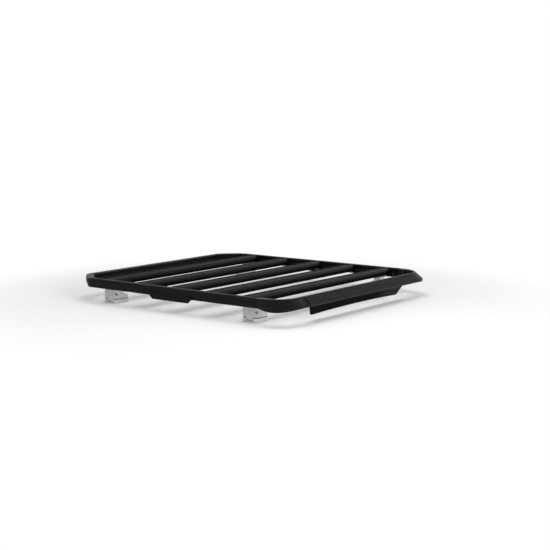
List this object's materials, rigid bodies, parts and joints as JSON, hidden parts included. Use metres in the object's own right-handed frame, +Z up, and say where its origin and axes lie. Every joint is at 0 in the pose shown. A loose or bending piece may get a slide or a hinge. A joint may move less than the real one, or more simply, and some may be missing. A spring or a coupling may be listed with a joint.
{
  "type": "flat platform roof rack",
  "caption": "Flat black platform roof rack: rounded perimeter frame, channelled cross slats, front wind deflector and clamp feet",
  "frame": {"origin": "centre of the footprint, on the plane the pads rest on", "axes": "+X towards the vehicle's front, +Y to its left, +Z up"},
  "size_m": [1.469, 1.367, 0.135],
  "materials": {
    "black_extrusion": "satin black powder coat on extruded aluminium",
    "black_casting": "fine-textured black powder coat on cast aluminium",
    "black_sheet": "satin black powder coat on bent sheet",
    "foot_plastic": "pale grey moulded plastic, fine grain",
    "lock_metal": "brushed lock face",
    "pad_rubber": "pale grey rubber",
    "plate_metal": "plated steel"
  },
  "bodies": {
    "root": {"right_side_rail": "black_extrusion", "left_side_rail": "black_extrusion", "front_rail": "black_extrusion", "rear_rail": "black_extrusion", "slat_1": "black_extrusion", "slat_2": "black_extrusion", "slat_3": "black_extrusion", "slat_4": "black_extrusion", "slat_5": "black_extrusion", "front_right_corner": "black_casting", "front_left_corner": "black_casting", "rear_right_corner": "black_casting", "rear_left_corner": "black_casting", "right_slat_brackets": "black_sheet", "left_slat_brackets": "black_sheet", "nose_cover": "black_sheet", "wind_deflector": "black_sheet", "right_side_plate": "black_sheet", "left_side_plate": "black_sheet", "front_right_foot_base": "foot_plastic", "front_right_foot_cover": "foot_plastic", "front_right_foot_lock": "lock_metal", "front_right_foot_pad": "pad_rubber", "front_right_foot_plate": "plate_metal", "front_left_foot_base": "foot_plastic", "front_left_foot_cover": "foot_plastic", "front_left_foot_lock": "lock_metal", "front_left_foot_pad": "pad_rubber", "front_left_foot_plate": "plate_metal", "rear_right_foot_base": "foot_plastic", "rear_right_foot_cover": "foot_plastic", "rear_right_foot_lock": "lock_metal", "rear_right_foot_pad": "pad_rubber", "rear_right_foot_plate": "plate_metal", "rear_left_foot_base": "foot_plastic", "rear_left_foot_cover": "foot_plastic", "rear_left_foot_lock": "lock_metal", "rear_left_foot_pad": "pad_rubber", "rear_left_foot_plate": "plate_metal"}
  },
  "joints": []
}
